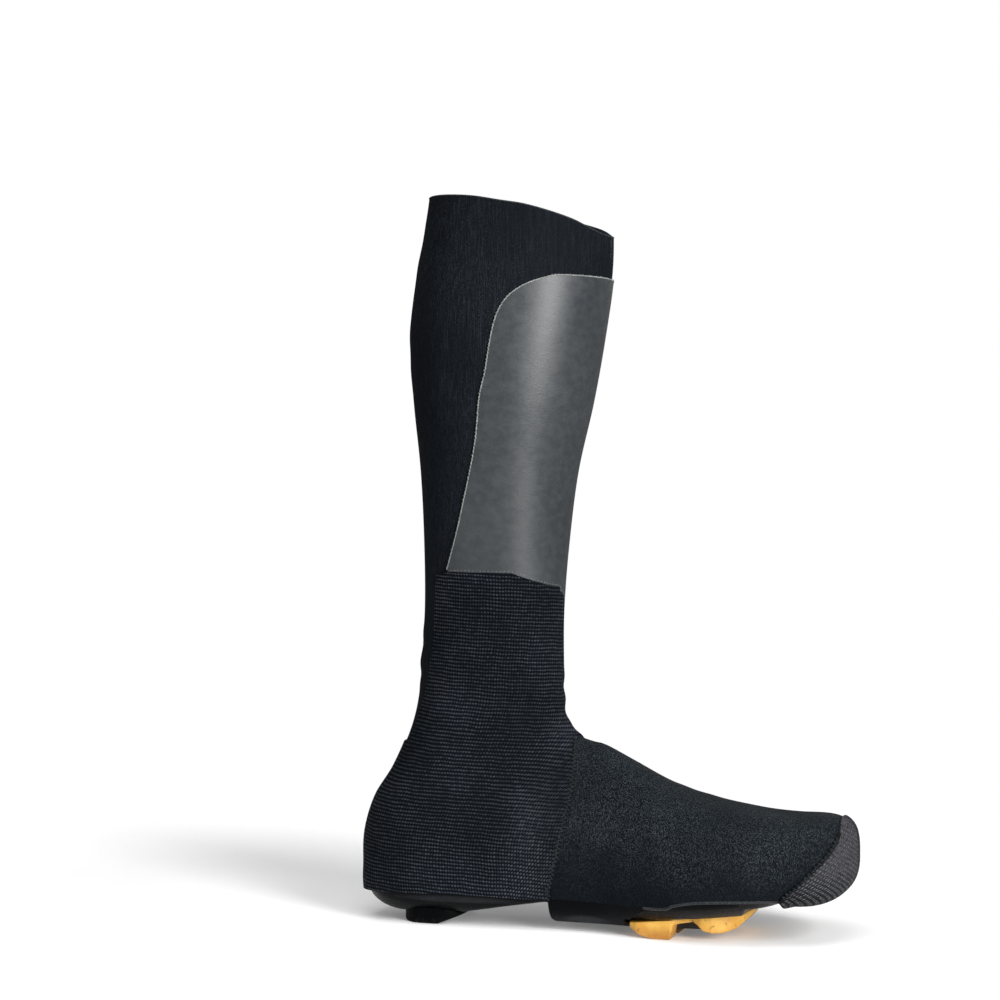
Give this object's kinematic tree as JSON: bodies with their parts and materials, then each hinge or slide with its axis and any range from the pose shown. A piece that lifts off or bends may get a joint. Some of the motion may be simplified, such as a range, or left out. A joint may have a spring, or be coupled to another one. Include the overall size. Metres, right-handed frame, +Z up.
{
  "type": "overshoe",
  "caption": "Knee-high stretch cycling overshoe for the left foot, over a stiff road shoe sole with heel pad and three-bolt cleat.",
  "frame": {"origin": "centre of the heel pad's flat ground face, on the floor that the shoe stands on", "axes": "+X towards the toe, +Y towards the outer side of the left foot, +Z up"},
  "size_m": [0.2924, 0.1056, 0.4197],
  "materials": {
    "stretch_fabric": "black brushed stretch fabric, fine grain, matt",
    "coated_fabric": "dark grey satin coated laminate with a soft sheen",
    "dot_knit": "near-black knit with rows of small raised dots",
    "aramid_knit": "dark grey hard-wearing knit with short light dashes",
    "sole_composite": "glossy black moulded composite",
    "footbed_foam": "dark matt foam with a fabric top",
    "pad_rubber": "black rubber, lightly worn",
    "amber_plastic": "amber yellow nylon, slightly dirty at its edges",
    "bolt_steel": "plain steel socket bolts and washers"
  },
  "bodies": {
    "root": {"upper": "stretch_fabric", "shin_panel": "coated_fabric", "ankle_panel": "dot_knit", "toe_cap": "aramid_knit", "arch_strap": "stretch_fabric", "outsole": "sole_composite", "insole": "footbed_foam", "heel_pad": "pad_rubber", "cleat": "amber_plastic", "cleat_bolt_front": "bolt_steel", "cleat_bolt_inner": "bolt_steel", "cleat_bolt_outer": "bolt_steel"}
  },
  "joints": []
}
